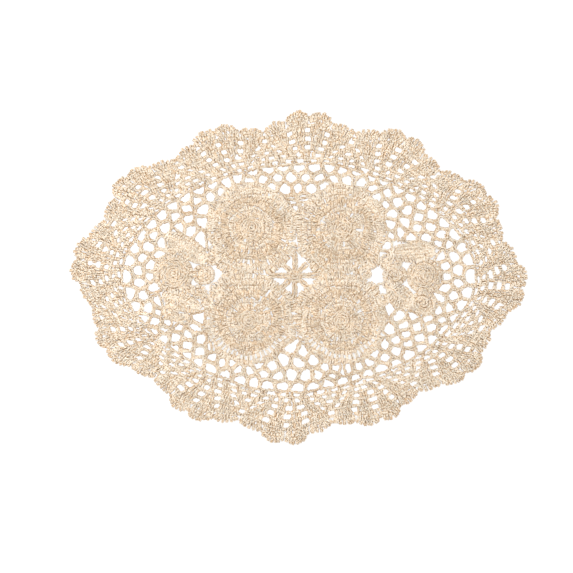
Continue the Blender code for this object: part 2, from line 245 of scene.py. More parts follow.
LONG_LEAF = 1.35  # a leaf at least this many times as long as wide is a long one
LEAF_BASE = (0.5, 0.2)  # mm up to the lowest leaves, and from each height to the next
SMALL_LEAF = 6.0  # mm, the radius under which a round leaf is small
LEAF_HOLE = 0.8  # mm, where its spiral starts
LEAF_BUTTON = 3.4  # mm, the radius of a small leaf's spiral
LEAF_RIM = 3.0  # mm, how broad the rim round a large leaf's spiral is
SMALL_DOME = (0.9, 1.4, 0.8, 0.3)  # mm: its spiral's edge and middle, its rim's foot and head
LARGE_DOME = (0.8, 1.6, 0.7, 0.2)
VEIN_START = 0.96  # how far out a long leaf's vein starts and ends, in half lengths
VEIN_END = 0.9
VEIN_POINTS = 40
VEIN_HEIGHT = 0.9  # mm
LEAF_LEAN = 0.22  # how far its stitches lean, in half lengths
LEAF_SLOPE = (0.8, 0.5)  # mm: its height beside the vein, and how far it falls to the edge

SPIRAL_PITCH = 2.15  # mm between the turns
SPIRAL_STEPS = 24  # a turn
SPIRAL_LINK = 2.0 * MM
SPIRAL_HALF = 1.15 * MM

STAR_MIDDLE = (-3.4 * MM, 1.2 * MM)
STAR_RING = (0.9, 5.2, 0.9, 1.4)  # inner and outer radius, height at its edge and middle, in mm
STAR_SPOKES = (0, 43, 88, 136, 180, 223, 271, 319)  # directions in degrees
SPOKE_START = 3.75 * MM  # from the star's middle
SPOKE_PAST = 0.8 * MM  # how far past the window's edge a spoke ends
SPOKE_SIDE = (1.0 * MM, 1.25 * MM)  # from its middle to its chains' middles, at its foot and tip
SPOKE_HALF = 0.95 * MM  # half the width of one chain
SPOKE_HEIGHT = 0.5 * MM

# Spaces that the net doesn't reach: between the roses and each spray, and round the star.
SPACES = (
    # lowest and highest X, lowest and highest Y, in mm
    (-69.6, -54.0, -5.0, 10.8),
    (-74.5, -67.0, -13.0, 0.5),
    (54.0, 69.6, -6.5, 7.5),
    (-60.0, 58.0, 0.4, 4.0),
    (-3.0, 0.6, -54.0, 54.0),
    (-26.0, 19.0, -19.0, 21.0),
)

# The border's rounds, from the net outwards. Each ends at a wavy line.
ROUND_LINES = (
    # depth of the line in mm at the middle of a repeat, a fifth of a repeat away and at its ends
    (38.0, 38.0, 38.0),
    (34.3, 34.0, 34.2),
    (28.1, 29.0, 29.3),
    (21.0, 23.7, 24.5),
    (13.9, 16.7, 19.5),
    (6.9, 9.5, 13.5),
)
LINE_PLACE = 0.2  # of the middle one of those depths, in repeats
ROUND_SPACES = (
    # for each round, its open spaces: place at its foot and at its head, width in mm
    (
        (-0.417, -0.417, 5.7),
        (-0.25, -0.25, 5.7),
        (-0.083, -0.083, 5.7),
        (0.083, 0.083, 5.7),
        (0.25, 0.25, 5.7),
        (0.417, 0.417, 5.7),
    ),
    (
        (-0.44, -0.44, 4.6),
        (-0.29, -0.31, 4.5),
        (-0.16, -0.16, 4.0),
        (-0.04, -0.03, 3.6),
        (0.10, 0.12, 4.0),
        (0.29, 0.31, 4.5),
        (0.44, 0.44, 4.6),
    ),
    (
        (-0.33, -0.36, 5.2),
        (-0.16, -0.17, 5.1),
        (0.0, 0.0, 5.5),
        (0.135, 0.15, 5.1),
        (0.33, 0.36, 5.2),
        (0.5, 0.5, 5.2),
    ),
    (
        (-0.395, -0.425, 5.2),
        (-0.185, -0.205, 5.4),
        (0.0, 0.0, 5.9),
        (0.175, 0.20, 5.4),
        (0.395, 0.425, 5.2),
    ),
    (
        (-0.22, -0.235, 5.2),
        (0.0, 0.0, 5.1),
        (0.205, 0.225, 5.2),
        (0.5, 0.5, 5.4),
    ),
)
ROUND_MM = 985.0  # once round the edge
SPACE_SHARE = 0.65  # of a round's height that its open spaces take up
SPACE_LEAST = 3.0  # mm wide
STITCH_LEAST = 1.7  # mm wide, of the stitches between spaces
FOOT_LAP = 0.04  # share of a round's height that its feet reach back over the round before
ROW_LAP = 0.05  # the same for its second row, over its first
PULLED = (0.18, -50)  # spaces are this share larger, at most, in this direction (degrees)
SPACE_BOW = 0.9  # in half widths, of the stitches on both sides of a space
PICOT_HALF = 1.08 * MM
PICOT_PITCH = 2.8  # mm along a scallop's edge
PICOT_TALL = 2.1  # mm
PICOT_PAST = 0.5 * MM  # how far its head passes the scallop's edge
PICOT_TONE = -0.2  # a little darker
KNOT_TONE = -0.5  # darker

# Stitches, each in the kinds that the hand makes by turns. A kind is its strands, at four points
# of each: across in half widths, along from its foot to its head, and the height of its middle in
# thread thicknesses.
LINKS = (
    (
        ((0.08, -0.28, 0.60), (0.58, 0.10, 1.00), (0.66, 0.62, 1.15), (0.20, 1.08, 0.85)),
        ((-0.08, -0.28, 0.60), (-0.58, 0.10, 1.00), (-0.66, 0.62, 1.15), (-0.20, 1.08, 0.85)),
    ),
    (
        ((-0.66, -0.18, 0.60), (-0.30, 0.16, 1.20), (0.38, 0.54, 1.30), (0.70, 1.00, 0.70)),
        ((0.62, -0.18, 0.60), (0.66, 0.26, 1.00), (0.05, 0.72, 0.90), (-0.56, 1.08, 0.75)),
    ),
    (
        ((-0.76, 0.06, 0.60), (-0.26, 0.26, 1.35), (0.26, 0.36, 1.35), (0.76, 0.52, 0.60)),
        ((-0.70, 0.60, 0.60), (-0.22, 0.72, 1.20), (0.28, 0.86, 1.25), (0.72, 1.04, 0.60)),
    ),
)
POSTS = (
    (
        ((-0.50, -0.02, 0.60), (0.12, 0.32, 1.10), (-0.12, 0.66, 1.10), (-0.46, 1.02, 0.80)),
        ((0.50, -0.02, 0.60), (-0.08, 0.34, 0.60), (0.30, 0.68, 0.70), (0.46, 1.02, 0.80)),
        ((-0.80, 0.40, 0.55), (-0.30, 0.46, 1.45), (0.32, 0.57, 1.45), (0.80, 0.64, 0.55)),
        ((-0.85, 0.00, 0.60), (-0.34, 0.12, 1.40), (0.34, 0.14, 1.40), (0.85, 0.02, 0.60)),
    ),
    (
        ((-0.66, 0.00, 0.60), (-0.10, 0.30, 1.00), (0.30, 0.66, 1.30), (0.66, 1.02, 0.80)),
        ((0.60, 0.00, 0.60), (0.38, 0.30, 1.35), (-0.25, 0.62, 1.00), (-0.60, 1.02, 0.80)),
        ((-0.88, 0.60, 0.60), (-0.30, 0.72, 1.40), (0.30, 0.78, 1.40), (0.88, 0.90, 0.60)),
        ((-0.82, 0.22, 0.60), (-0.30, 0.12, 1.30), (0.34, 0.24, 1.45), (0.88, 0.38, 0.60)),
    ),
)
SHORTS = (
    (
        ((-0.90, 0.02, 0.60), (-0.45, 0.32, 1.25), (0.15, 0.66, 1.40), (0.70, 1.02, 0.90)),
        ((0.90, 0.06, 0.60), (0.66, 0.36, 1.00), (0.30, 0.64, 1.10), (-0.30, 0.98, 0.80)),
        ((-0.95, 0.60, 0.60), (-0.45, 0.76, 1.20), (0.20, 0.90, 1.30), (0.80, 0.92, 0.60)),
    ),
    (
        ((0.10, -0.02, 0.60), (-0.60, 0.28, 1.20), (-0.70, 0.70, 1.30), (0.10, 1.02, 0.90)),
        ((-0.10, 0.10, 0.60), (0.55, 0.30, 1.10), (0.75, 0.70, 1.20), (0.15, 1.06, 0.70)),
        ((-0.90, 0.20, 0.60), (-0.30, 0.32, 1.40), (0.30, 0.52, 1.40), (0.90, 0.50, 0.60)),
    ),
    (
        ((-0.95, 0.28, 0.60), (-0.45, 0.12, 1.20), (0.15, 0.16, 1.30), (0.70, 0.40, 0.80)),
        ((-0.80, 0.45, 0.60), (-0.20, 0.52, 1.35), (0.40, 0.70, 1.40), (0.95, 0.72, 0.60)),
        ((-0.70, 1.02, 0.70), (-0.55, 0.80, 1.20), (0.05, 0.92, 1.20), (0.75, 1.02, 0.60)),
    ),
)
# The broad back strand lies low, so its colour is painted shade between the stitches.
BACKS = ((((0.0, -0.12, 0.34), (0.0, 0.30, 0.38), (0.0, 0.70, 0.38), (0.0, 1.12, 0.34)),),)
PICOTS = (
    (
        ((-0.30, -0.05, 0.60), (-0.85, 0.40, 1.10), (-0.60, 0.92, 1.20), (0.10, 1.02, 0.90)),
        ((0.30, -0.05, 0.60), (0.85, 0.40, 1.00), (0.60, 0.90, 1.10), (-0.10, 1.06, 1.30)),
        ((-0.70, 0.20, 0.60), (-0.25, 0.12, 1.50), (0.25, 0.16, 1.50), (0.70, 0.28, 0.60)),
    ),
)
KNOTS = (
    (
        ((-0.95, 0.10, 0.60), (-0.35, 0.38, 1.50), (0.35, 0.62, 1.50), (0.95, 0.90, 0.60)),
        ((0.95, 0.10, 0.60), (0.40, 0.36, 1.15), (-0.40, 0.64, 1.15), (-0.95, 0.90, 0.60)),
    ),
)

# How uneven the hand is. Each is a standard deviation.
UNEVEN_WIDTH = 0.12  # share of the width
UNEVEN_PLACE = 0.17  # in half widths, of a stitch and of each point of a strand
UNEVEN_LEAN = 0.42  # in half widths, of a stitch's head
UNEVEN_HEIGHT = 0.14  # in threads
UNEVEN_RING = 0.3  # in mm, of each end of a stitch in a rose
UNEVEN_SPACE = 0.5  # in mm, of a border space's place and width
UNEVEN_PICOT = 0.4 * MM  # of a picot's head
UNEVEN_TONE = 0.22  # in threads of height, which the cotton's colour follows

draw = np.random.default_rng(SEED)


# ---------------------------------------------------------------- the doily's layout


def polar(reach, angle):
    """Points this far out in each direction."""
    return np.column_stack([reach * np.cos(angle), reach * np.sin(angle)])


def all_round(count):
    """This many directions, evenly spaced."""
    return np.arange(count) * 2 * math.pi / count


def from_anywhere(count):
    """The same, turned by lot."""
    return (np.arange(count) + draw.uniform()) / count * 2 * math.pi


def middles_of(count):
    """The middles of this many equal shares of 1."""
    return (np.arange(count) + 0.5) / count


def gone_along(path):
    """How far along a path of points each of them is."""
    return np.concatenate([[0], np.cumsum(np.linalg.norm(np.diff(path, axis=0), axis=1))])


def points_at(path, gone, at):
    """Points of a path of points, of which each is gone this far along, at other distances."""
    return np.column_stack([np.interp(at, gone, column) for column in path.T])


def turning(degrees):
    """The matrix that turns a row of points anticlockwise."""
    tilt = math.radians(degrees)
    return np.array([[math.cos(tilt), math.sin(tilt)], [-math.sin(tilt), math.cos(tilt)]])


def waver(points, depth):
    """Points moved in or out by the waves of the pinned edge, less and less towards the middle."""
    angle = np.arctan2(points[:, 1], points[:, 0])
    share = sum(size * np.cos(times * angle + math.radians(turn)) for times, size, turn in WAVES)
    first, last = WAVES_FADE
    fade = np.clip((last - depth) / (last - first), 0, 1)
    return points * (1 + share * fade)[:, None]


def oval(depth, places):
    """Points on the oval |x/a|^n + |y/b|^n = 1 this far in from the edge. A place of 0 to 1 is a
    share of its length, anticlockwise from the right-hand end."""
    turn = np.linspace(0, 2 * math.pi, OVAL_STEPS + 1)
    power = 2 / ROUNDNESS
    x = (HALF_LENGTH - depth) * np.sign(np.cos(turn)) * np.abs(np.cos(turn)) ** power
    y = (HALF_WIDTH - depth) * np.sign(np.sin(turn)) * np.abs(np.sin(turn)) ** power
    path = np.column_stack([x, y])
    gone = gone_along(path)
    points = points_at(path, gone, np.mod(places, 1) * gone[-1])
    return waver(points, depth), gone[-1]


# A lattice of ovals, between whose points every place and depth is found.
LATTICE_DEPTHS = np.arange(-8, 42) * MM  # from outside the scallops to inside the border
LATTICE_PLACES = 1440
lattice = np.array(
    [oval(depth, np.arange(LATTICE_PLACES + 1) / LATTICE_PLACES)[0] for depth in LATTICE_DEPTHS]
)
edge_length = oval(0.0, np.zeros(1))[1]


def on_ovals(places, depths):
    """Points at these places and depths, each between the four nearest points of the lattice,
    weighted by how near they are. The last row of the lattice is never the first of two."""
    row = np.clip((depths - LATTICE_DEPTHS[0]) / MM, 0, len(LATTICE_DEPTHS) - 1.001)
    column = np.mod(places, 1) * LATTICE_PLACES
    i, j = row.astype(int), column.astype(int)
    down, over = (row - i)[..., None], (column - j)[..., None]
    near = lattice[i, j] * (1 - over) + lattice[i, j + 1] * over
    far = lattice[i + 1, j] * (1 - over) + lattice[i + 1, j + 1] * over
    return near * (1 - down) + far * down


def border_points(repeats, depths):
    """Points this many repeats along the edge and this far in, in metres, as it was pinned out."""
    fade = 1 - np.maximum(depths, 0) / BORDER_DEPTH
    pinned = np.array([*REPEATS_PINNED, REPEATS_PINNED[0]])
    whole = np.arange(REPEATS + 1)
    shift, inwards = (np.interp(np.mod(repeats, REPEATS), whole, row) for row in pinned.T)
    places = (repeats + shift * fade) / REPEATS + EDGE_SHIFT / edge_length
    return on_ovals(places, depths + inwards * MM * fade)


def scallop_curve(number, share_turn):
    """(places, depths) on one scallop of a repeat, at these shares of a half turn. It goes along
    from its notch to the next by 0.5 - spread x cos t, and leaves the line between them by the
    sine of t to a power."""
    (start, start_depth, tip), (end, end_depth, _) = NOTCHES[number], NOTCHES[number + 1]
    turn = share_turn * math.pi
    share = 0.5 - SCALLOP_SPREAD * np.cos(turn)
    chord = start_depth + (end_depth - start_depth) * share
    bulge = ((start_depth + end_depth) / 2 - tip) * np.sin(turn) ** SCALLOP_FULLNESS
    return start + (end - start) * share, (chord - bulge) * MM


def rose_reach(row, angle):
    """The rose's radius in each direction. It dips between the petals as 1 - |cos|, swells in the
    corners between the roses, and stops at the straight lines where it meets its neighbours and
    the star's window."""
    _, x, y, radius, turn = row
    middle = np.array([x, y]) * MM
    wave = np.abs(np.cos(ROSE_PETALS / 2 * (angle - math.radians(turn))))
    towards = math.atan2(ROSES_MEET[1] - middle[1], (SWELL_TOWARDS - 1) * middle[0])
    swell = np.clip(np.cos(angle - towards) / SWELL_EDGE, 0, 1)
    swell = ROSE_SWELL * swell * swell * (3 - 2 * swell)
    reach = radius * MM * (1 - ROSE_NOTCH * (1 - wave)) * (1 + swell)
    inwards = -np.sign(middle)
    window = inwards / WINDOW
    limits = (
        (inwards * (1, 0), inwards[0] * ROSES_MEET[0] - GAP / 2),
        (inwards * (0, 1), inwards[1] * ROSES_MEET[1] - GAP / 2),
        (window, window @ STAR_MIDDLE - 1),
    )
    for across, at in limits:
        facing = across[0] * np.cos(angle) + across[1] * np.sin(angle)
        far = (at - across @ middle) / np.where(facing > 0, facing, 1)
        reach = np.where(facing > 0, np.minimum(reach, far), reach)
    return reach


def rose_outline(row):
    """The corners of the rose's outline."""
    angle = all_round(ROSE_PETALS * ROSE_POINTS)
    return np.array(row[1:3]) * MM + polar(rose_reach(row, angle), angle)


def leaf_reach(leaf, middle, angle):
    """How far each ray from the middle goes before it leaves this oval leaf, or 0 if it misses."""
    x, y, length, width, turn = leaf
    half = (length / 2, width / 2)
    start = turning(turn) @ (np.array(middle) - (x, y)) / half
    ray = polar(1, angle) @ turning(turn).T / half
    a = (ray * ray).sum(axis=1)
    b = ray @ start
    inside = b * b - a * (start @ start - 1)
    far = (-b + np.sqrt(np.maximum(inside, 0))) / a
    return np.where(inside > 0, np.maximum(far, 0), 0)


def spray_outline(leaves):
    """The farthest reach of any leaf along each ray from the middle of the spray."""
    middle = np.mean([leaf[:2] for leaf in leaves], axis=0)
    angle = all_round(SPRAY_POINTS)
    reach = np.max([leaf_reach(leaf, middle, angle) for leaf in leaves], axis=0) * MM
    return middle * MM + polar(reach, angle)


def nearest(points, outline):
    """For each point, the nearest point of a closed outline, and whether it is inside it."""
    start, end = outline, np.roll(outline, -1, axis=0)
    side = end - start
    offset = points[:, None] - start
    share = np.clip((offset * side).sum(axis=2) / (side * side).sum(axis=1), 0, 1)
    feet = start + share[..., None] * side
    closest = np.linalg.norm(points[:, None] - feet, axis=2).argmin(axis=1)
    crosses = (start[:, 1] > points[:, None, 1]) != (end[:, 1] > points[:, None, 1])
    rise = np.where(side[:, 1] == 0, 1.0, side[:, 1])
    meets = start[:, 0] + (points[:, None, 1] - start[:, 1]) * side[:, 0] / rise
    inside = (crosses & (points[:, None, 0] < meets)).sum(axis=1) % 2 == 1
    return feet[np.arange(len(points)), closest], inside


def round_heights(places, motifs):
    """How tall the pressed rounds are at each place: an equal share of the room outside the
    motifs, averaged with the places beside it."""
    rim = oval(BORDER_DEPTH, places)[0]
    room = np.min(
        [np.linalg.norm(rim - nearest(rim, outline)[0], axis=1) for outline in motifs], axis=0
    )
    heights = np.clip(room / PRESSED_ROUNDS, *ROUND_HEIGHT)
    return (np.roll(heights, 1) + heights + np.roll(heights, -1)) / 3


def net_seeds(motifs):
    """The middles of the meshes: staggered rounds on nested ovals, clear of the motifs."""
    seeds = []
    for number in range(NET_ROUNDS):
        places = (np.arange(MESHES_ROUND) + 0.5 * (number % 2)) / MESHES_ROUND
        heights = round_heights(places, motifs)
        pressed = min(number + 0.5, PRESSED_ROUNDS) * heights
        depths = BORDER_DEPTH + pressed + max(number + 0.5 - PRESSED_ROUNDS, 0) * ROUND_HEIGHT[1]
        seeds += [oval(depth, np.array([place]))[0][0] for depth, place in zip(depths, places)]
    seeds = np.array(seeds)
    for outline in motifs:
        foot, inside = nearest(seeds, outline)
        seeds = seeds[~inside & (np.linalg.norm(seeds - foot, axis=1) > SEED_CLEARANCE)]
    return seeds


def meshes_round(seeds, edges):
    """The corners of the mesh round each seed: the middles of the circles through neighbouring
    seeds. Seeds near an edge are mirrored in it, so that the meshes end there."""
    mirrored = []
    for outline in edges:
        foot, _ = nearest(seeds, outline)
        near = np.linalg.norm(seeds - foot, axis=1) < MIRROR_REACH
        mirrored.append(2 * foot[near] - seeds[near])
    every = np.concatenate([seeds, *mirrored])
    corners = delaunay_2d_cdt([Vector(p) for p in every], [], [], 0, SEEDS_SAME)
    points = np.array([tuple(p) for p in corners[0]])
    triangles = np.array(corners[2])
    a, b, c = points[triangles[:, 0]], points[triangles[:, 1]], points[triangles[:, 2]]
    ab, ac = b - a, c - a
    area = 2 * (ab[:, 0] * ac[:, 1] - ab[:, 1] * ac[:, 0])
    square_b, square_c = (ab * ab).sum(axis=1), (ac * ac).sum(axis=1)
    middles = a + np.column_stack(
        [
            (ac[:, 1] * square_b - ab[:, 1] * square_c) / area,
            (ab[:, 0] * square_c - ac[:, 0] * square_b) / area,
        ]
    )
    found = []
    for number, seed in enumerate(seeds):
        around = middles[(triangles == number).any(axis=1)]
        turn = np.arctan2(around[:, 1] - seed[1], around[:, 0] - seed[0])
        found.append(around[np.argsort(turn)])
    return found


def net_meshes(motifs):
    """Meshes of even size: each seed moves to the middle of its mesh, a few times over."""
    rim = oval(BORDER_DEPTH + GAP, np.arange(RIM_POINTS) / RIM_POINTS)[0]
    seeds = net_seeds(motifs)
    for _ in range(SETTLING_STEPS):
        seeds = np.array([mesh.mean(axis=0) for mesh in meshes_round(seeds, [rim, *motifs])])
    return meshes_round(seeds, [rim, *motifs])


# ---------------------------------------------------------------- stitches


def lay(
    kinds, foot, head, half_foot, half_head=None, low=0.0, high=None, broad=1.0, bow=0.0, tone=0.0
):
    """Strands of one stitch, its kinds drawn by lot and either way round, laid from each foot to
    each head. A point of a strand goes along from foot to head, sideways by its share of the half
    width there, and up by its height in threads over a base that rises from low to high. A bow
    moves both its ends sideways by a share b (1 - 4 s (1 - s)) of the half width, with s the share
    of the way along. Half widths, low, high, broad and bow are one number, or one for each stitch.
    Returns points (n, 4, 3), how exposed each is, which is its height with its tone added and sets
    the painted shade of its colour, and how many times as broad as a thread each strand is."""
    count = len(foot)
    half_foot = np.broadcast_to(half_foot, count)
    half_head = half_foot if half_head is None else np.broadcast_to(half_head, count)
    low = np.broadcast_to(low, count)
    high = low if high is None else np.broadcast_to(high, count)
    run = head - foot
    side = np.column_stack([run[:, 1], -run[:, 0]])
    side /= np.linalg.norm(side, axis=1)[:, None]
    kinds = np.array(kinds)[draw.integers(len(kinds), size=count)]
    across, along, up = np.moveaxis(kinds, 3, 0)  # each (count, strands, 4)
    across = across * draw.choice((-1.0, 1.0), (count, 1, 1))
    plump = draw.normal(1, UNEVEN_WIDTH, (count, 1, 1))
    nudge = draw.normal(0, UNEVEN_PLACE, (count, 1, 1))
    nudge = nudge + draw.normal(0, UNEVEN_LEAN, (count, 1, 1)) * along
    nudge = nudge + draw.normal(0, UNEVEN_PLACE, up.shape)
    half = half_foot[:, None, None] * (1 - along) + half_head[:, None, None] * along
    bowed = np.broadcast_to(bow, count)[:, None, None] * (1 - 4 * along * (1 - along))
    sideways = (across * plump + nudge + bowed) * half
    base = low[:, None, None] * (1 - along) + high[:, None, None] * along
    height = up + draw.normal(0, UNEVEN_HEIGHT, up.shape) * (up > BACK_BELOW)
    height = np.maximum(height, np.minimum(up, LEAST_HEIGHT))
    points = np.empty((*up.shape, 3))
    points[..., :2] = (
        foot[:, None, None] + run[:, None, None] * along[..., None]
        + side[:, None, None] * sideways[..., None]
    )
    points[..., 2] = base + height * THREAD
    exposed = height + draw.normal(tone, UNEVEN_TONE, (*up.shape[:2], 1))
    broad = np.broadcast_to(np.broadcast_to(broad, count)[:, None], up.shape[:2])
    return points.reshape(-1, 4, 3), exposed.reshape(-1, 4), broad.reshape(-1)


def backed(kinds, foot, head, half_foot, half_head=None, low=0.0, high=None, bow=0.0, tone=0.0):
    """Stitches with a broad, low strand behind each, which closes the gap to the next. Lying low,
    that strand takes the painted shade, so the gap shows dark tan.
    """
    half_head = half_foot if half_head is None else half_head
    broad = BACK_WIDTH * (half_foot + half_head) / STRAND_WIDTH
    return [
        lay(kinds, foot, head, half_foot, half_head, low, high, 1.0, bow, tone),
        lay(BACKS, foot, head, half_foot, half_head, low, high, broad, bow),
    ]


def chain(path, low=0.0, pitch=LINK_PITCH, half=LINK_HALF, closed=False, tone=0.0):
    """Links end to end along a path of points, at an even pitch. low is the path's height, one
    number or one for each point."""
    path = np.concatenate([path, path[:1]]) if closed else path
    gone = gone_along(path)
    links = max(1, round(gone[-1] / pitch))
    at = np.linspace(0, gone[-1], links + 1)
    points = points_at(path, gone, at)
    up = np.interp(at, gone, np.broadcast_to(low, len(path)))
    return backed(LINKS, points[:-1], points[1:], half, None, up[:-1], up[1:], tone=tone)


def add_object(name, data):
    """Adds an object to the scene."""
    thing = bpy.data.objects.new(name, data)
    bpy.context.scene.collection.objects.link(thing)
    return thing


def strand_mesh(name, laid, nodes, material):
    """One piece of many strands. Each ring of a strand has SIDES points square to its run: its
    middle + radius x (broad x cos t x sideways + sin t / sqrt(broad) x upwards). Both ends are
    closed. Its colour attribute is painted shade with random tone: how exposed each point is, plus
    half the sine of its corner's turn, as a share of the height in threads at which the shade
    ends, so low points and each strand's lower corners are darker."""
    points, exposed, broad = (np.concatenate(column) for column in zip(*laid))
    count, rings = points.shape[:2]
    run = np.gradient(points, axis=1)
    run /= np.linalg.norm(run, axis=2)[..., None]
    side = np.cross(run, (0.0, 0.0, 1.0))
    side /= np.linalg.norm(side, axis=2)[..., None]
    upward = np.cross(side, run)
    turn = all_round(SIDES) + math.pi / 2
    ends = np.array([STRAND_TIP, 1.0, 1.0, STRAND_TIP])[:, None, None]
    broad = broad[:, None, None, None]
    circle = side[:, :, None] * np.cos(turn)[:, None] * broad
    circle = circle + upward[:, :, None] * np.sin(turn)[:, None] / np.sqrt(broad)
    vertices = points[:, :, None] + circle * (STOUT * THREAD / 2 * ends)
    # Painted shade: the lower a point lies, and the lower its corner of the strand, the darker its
    # colour. Its random tone is added.
    painted_shade_and_tone = np.clip((exposed[..., None] + 0.5 * np.sin(turn)) / UNSHADED_THREADS, 0, 1)

    number = np.arange(count * rings * SIDES).reshape(count, rings, SIDES)
    onward = np.roll(number, -1, axis=2)
    quads = np.stack([number[:, :-1], onward[:, :-1], onward[:, 1:], number[:, 1:]], axis=-1)
    caps = np.stack([number[:, 0, ::-1], number[:, -1]], axis=1)
    corners = np.concatenate([quads.reshape(-1), caps.reshape(-1)])
    quad_count, cap_count = quads.size // 4, caps.size // SIDES
    starts = np.concatenate(
        [np.arange(quad_count) * 4, quad_count * 4 + np.arange(cap_count) * SIDES]
    )
    mesh = bpy.data.meshes.new(name)
    mesh.vertices.add(number.size)
    mesh.vertices.foreach_set("co", vertices.reshape(-1))
    mesh.loops.add(len(corners))
    mesh.loops.foreach_set("vertex_index", corners)
    mesh.polygons.add(len(starts))
    mesh.polygons.foreach_set("loop_start", starts)
    mesh.attributes.new("painted_shade_and_tone", "FLOAT", "POINT").data.foreach_set("value", painted_shade_and_tone.reshape(-1))
    map_strands(mesh, points, count, rings)
    mesh.update(calc_edges=True)
    mesh.validate()
    mesh.shade_smooth()
    mesh.materials.append(material)
    piece = add_object(name, mesh)
    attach(piece, "root")
    if nodes:
        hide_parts(*nodes)
    return piece


def map_strands(mesh, points, count, rings):
    """Two UV maps. Ply runs once round the strand in U and by its length in threads in V. OFBake
    gives each strand a cell of its own in a square grid, its two ends as small discs."""
    length = np.linalg.norm(np.diff(points, axis=1), axis=2)
    gone = np.concatenate([np.zeros((count, 1)), np.cumsum(length, axis=1)], axis=1) / THREAD
    ring, step = np.meshgrid(np.arange(rings - 1), np.arange(SIDES), indexing="ij")
    ring_of = np.stack([ring, ring, ring + 1, ring + 1], axis=-1)
    step_of = np.stack([step, step + 1, step + 1, step], axis=-1)
    around = np.broadcast_to(step_of / SIDES, (count, *step_of.shape))
    disc = CELL_DISC * polar(1, all_round(SIDES))
    first, last, up = CELL_ENDS
    discs = np.stack([disc[::-1] + (first, up), disc + (last, up)])
    ply_ends = np.zeros((count, 2, SIDES, 2))
    ply_ends[:, 1, :, 1] = gone[:, -1:]
    ply = np.stack([around, gone[:, ring_of]], axis=-1)
    grid = math.ceil(math.sqrt(count))
    cell = np.stack([np.arange(count) % grid, np.arange(count) // grid], axis=-1)
    within = np.stack([around, np.broadcast_to(ring_of / (rings - 1), around.shape)], axis=-1)
    within = CELL_EDGE + within * CELL_SIDES
    own = (cell[:, None, None, None] + within) / grid
    own_ends = (cell[:, None, None] + discs) / grid
    for name, sides, ends in (("Ply", ply, ply_ends), ("OFBake", own, own_ends)):
        layer = mesh.uv_layers.new(name=name)
        values = np.concatenate([sides.reshape(-1), ends.reshape(-1)])
        layer.uv.foreach_set("vector", values.astype(np.float32))


# ---------------------------------------------------------------- the border


def line_depth(number, place):
    """Depth of a round's line, in metres, as a + p (1 - cos 2 pi x) / 2 + q (1 - cos 4 pi x) / 2
    with x the place in the repeat, through the three depths that the table gives."""
    middle, known, end = ROUND_LINES[number]
    (once, twice), (known_once, known_twice) = (
        [(1 - np.cos(turn * math.pi * x)) / 2 for turn in (2, 4)] for x in (place, LINE_PLACE)
    )
    p = end - middle
    q = (known - middle - p * known_once) / known_twice
    return (middle + p * once + q * twice) * MM


def line_points(number, places):
    """Points on a round's line, at these places along all the repeats."""
    return border_points(places, line_depth(number, places))


def pulled(places):
    """How much larger the spaces are at each place, as a share. It follows 1 + cos of the angle
    from the direction in which the doily was pulled out most."""
    most, direction = PULLED
    turn = 2 * math.pi * places / REPEATS - math.radians(direction)
    return most * (1 + np.cos(turn)) / 2


def between_spaces(spaces, depth_mm):
    """For a round's stitches, close together between its spaces, which the hand places unevenly:
    their places at the foot and at the head, half the width of each in metres, and the bow of the
    first and last beside a space, which rounds its corners. A place in the table is 0 in the
    middle of a repeat and 0.5 at its end."""
    width = (ROUND_MM - 2 * math.pi * depth_mm) / REPEATS
    foot, head, wide = np.array(spaces).T
    gap = np.repeat(np.arange(REPEATS), len(spaces))
    shift = draw.normal(0, UNEVEN_SPACE / width, len(gap))
    foot, head = gap + np.tile(foot, REPEATS) + shift, gap + np.tile(head, REPEATS) + shift
    wide = np.tile(wide, REPEATS) * (1 + pulled(foot))
    wide = wide + draw.normal(0, UNEVEN_SPACE, len(gap))
    wide = np.maximum(wide, SPACE_LEAST) / width / 2
    feet, heads, halves, bows = [], [], [], []
    for i in range(len(gap)):
        j = (i + 1) % len(gap)
        turn = REPEATS if j == 0 else 0
        start, end = foot[i] + wide[i], foot[j] + turn - wide[j]
        rise = head[i] - foot[i], head[j] - foot[j]
        stitches = max(1, round((end - start) * width / SHORT_PITCH))
        share = middles_of(stitches)
        feet.append(start + (end - start) * share)
        heads.append(feet[-1] + rise[0] + (rise[1] - rise[0]) * share)
        each = max((end - start) * width / stitches, STITCH_LEAST)
        halves.append(np.full(stitches, each / 2 * MM))
        bows.append(np.zeros(stitches))
        if stitches > 1:
            bows[-1][[0, -1]] = SPACE_BOW, -SPACE_BOW
    return tuple(np.concatenate(column) for column in (feet, heads, halves, bows))


def border_round(number):
    """Two rows of short stitches from one line to the next, round the whole border: the first has
    the open spaces, the second is close all the way, but for skipped stitches. Where the spaces
    are wider by some share, they are taller by half of it."""
    depth = (line_depth(number, np.zeros(1)) + line_depth(number + 1, np.zeros(1)))[0] / 2 / MM
    foot_places, head_places, halves, bows = between_spaces(ROUND_SPACES[number], depth)
    foot = line_points(number, foot_places)
    head = line_points(number + 1, head_places)
    tall = (SPACE_SHARE * (1 + pulled(foot_places) / 2))[:, None]
    foot, head = foot - FOOT_LAP * (head - foot), foot + tall * (head - foot)
    laid = backed(SHORTS, foot, head, halves, bow=bows)
    stitches = round((ROUND_MM - 2 * math.pi * depth) / SHORT_PITCH)
    places = np.arange(stitches) / stitches * REPEATS
    places = places[draw.random(stitches) > ROUND_SKIPPED]
    foot, head = line_points(number, places), line_points(number + 1, places)
    tall = (SPACE_SHARE * (1 + pulled(places) / 2))[:, None]
    foot = foot + (tall - ROW_LAP) * (head - foot)
    return laid + backed(SHORTS, foot, head, SHORT_PITCH / 2 * MM)


